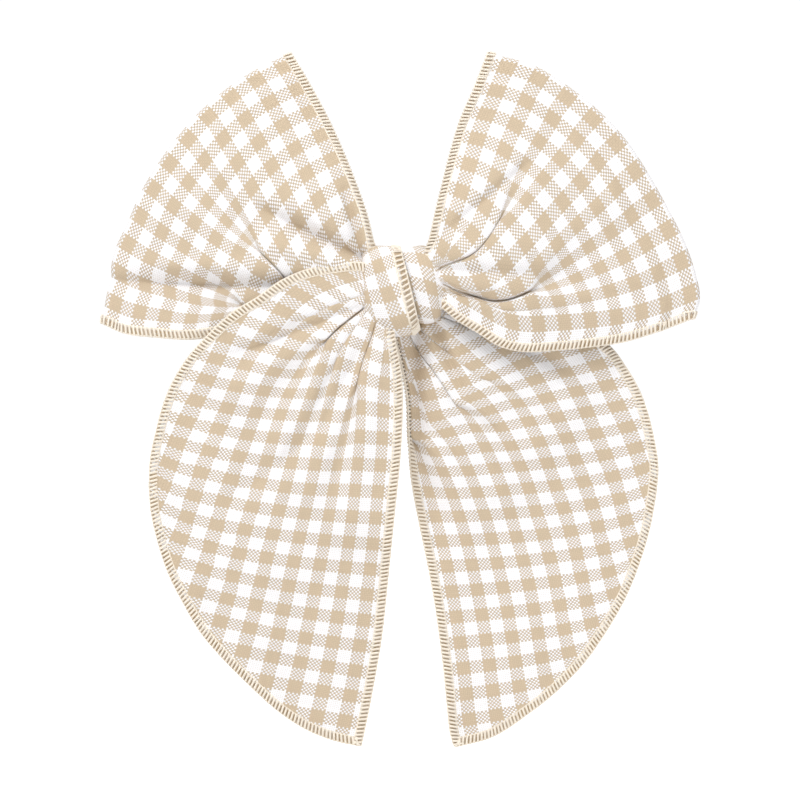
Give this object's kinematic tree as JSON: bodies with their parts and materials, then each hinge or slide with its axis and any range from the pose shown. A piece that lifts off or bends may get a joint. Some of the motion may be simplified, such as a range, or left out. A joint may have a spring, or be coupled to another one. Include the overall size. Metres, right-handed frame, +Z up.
{
  "type": "hair bow",
  "caption": "Tied hair bow of one serged gingham strip with two loops and two long tails, pinched by a wrapped knot, on a sprung alligator clip.",
  "frame": {"origin": "in the closed gap between the clip's jaws, straight behind the middle of the knot, where the hair is held", "axes": "+Z up, from the tails' points to the loops; the bow's front faces -Y and +Y points to the head; +X to the right of someone looking at the bow's front"},
  "size_m": [0.1542, 0.0354, 0.1799],
  "materials": {
    "gingham_cotton": "plain-weave cotton, tan and white checks",
    "serging_thread": "cream overlock thread",
    "sewing_thread": "waxed cream thread",
    "glue": "set hot glue",
    "clip_steel": "nickel-plated spring steel",
    "lining_ribbon": "cream grosgrain ribbon"
  },
  "bodies": {
    "bow": {"right_tail": "gingham_cotton", "left_loop_back": "gingham_cotton", "left_loop_front": "gingham_cotton", "right_loop_back": "gingham_cotton", "right_loop_front": "gingham_cotton", "left_tail": "gingham_cotton", "right_tail_edging": "serging_thread", "left_tail_edging": "serging_thread", "left_loop_upper_edging": "serging_thread", "left_loop_lower_edging": "serging_thread", "right_loop_upper_edging": "serging_thread", "right_loop_lower_edging": "serging_thread", "gathered_neck": "gingham_cotton", "gathering_thread": "sewing_thread", "knot_left_lap": "gingham_cotton", "knot_right_lap": "gingham_cotton", "knot_edging": "serging_thread", "glue_pad": "glue", "clip_front_arm": "clip_steel", "clip_pin": "clip_steel", "clip_spring": "clip_steel", "clip_lining_ribbon": "lining_ribbon"},
    "rear_arm": {"clip_rear_arm": "clip_steel"}
  },
  "joints": [
    {"name": "clip_jaw", "type": "hinge", "parent": "bow", "child": "rear_arm", "pos_m": [0.009, 0.003, 0], "axis": [0, 0, -1], "range_deg": [0, 24], "stiffness_Nm_per_rad": 0.05, "springref_deg": -51.57, "deforming": ["clip_spring"]}
  ]
}
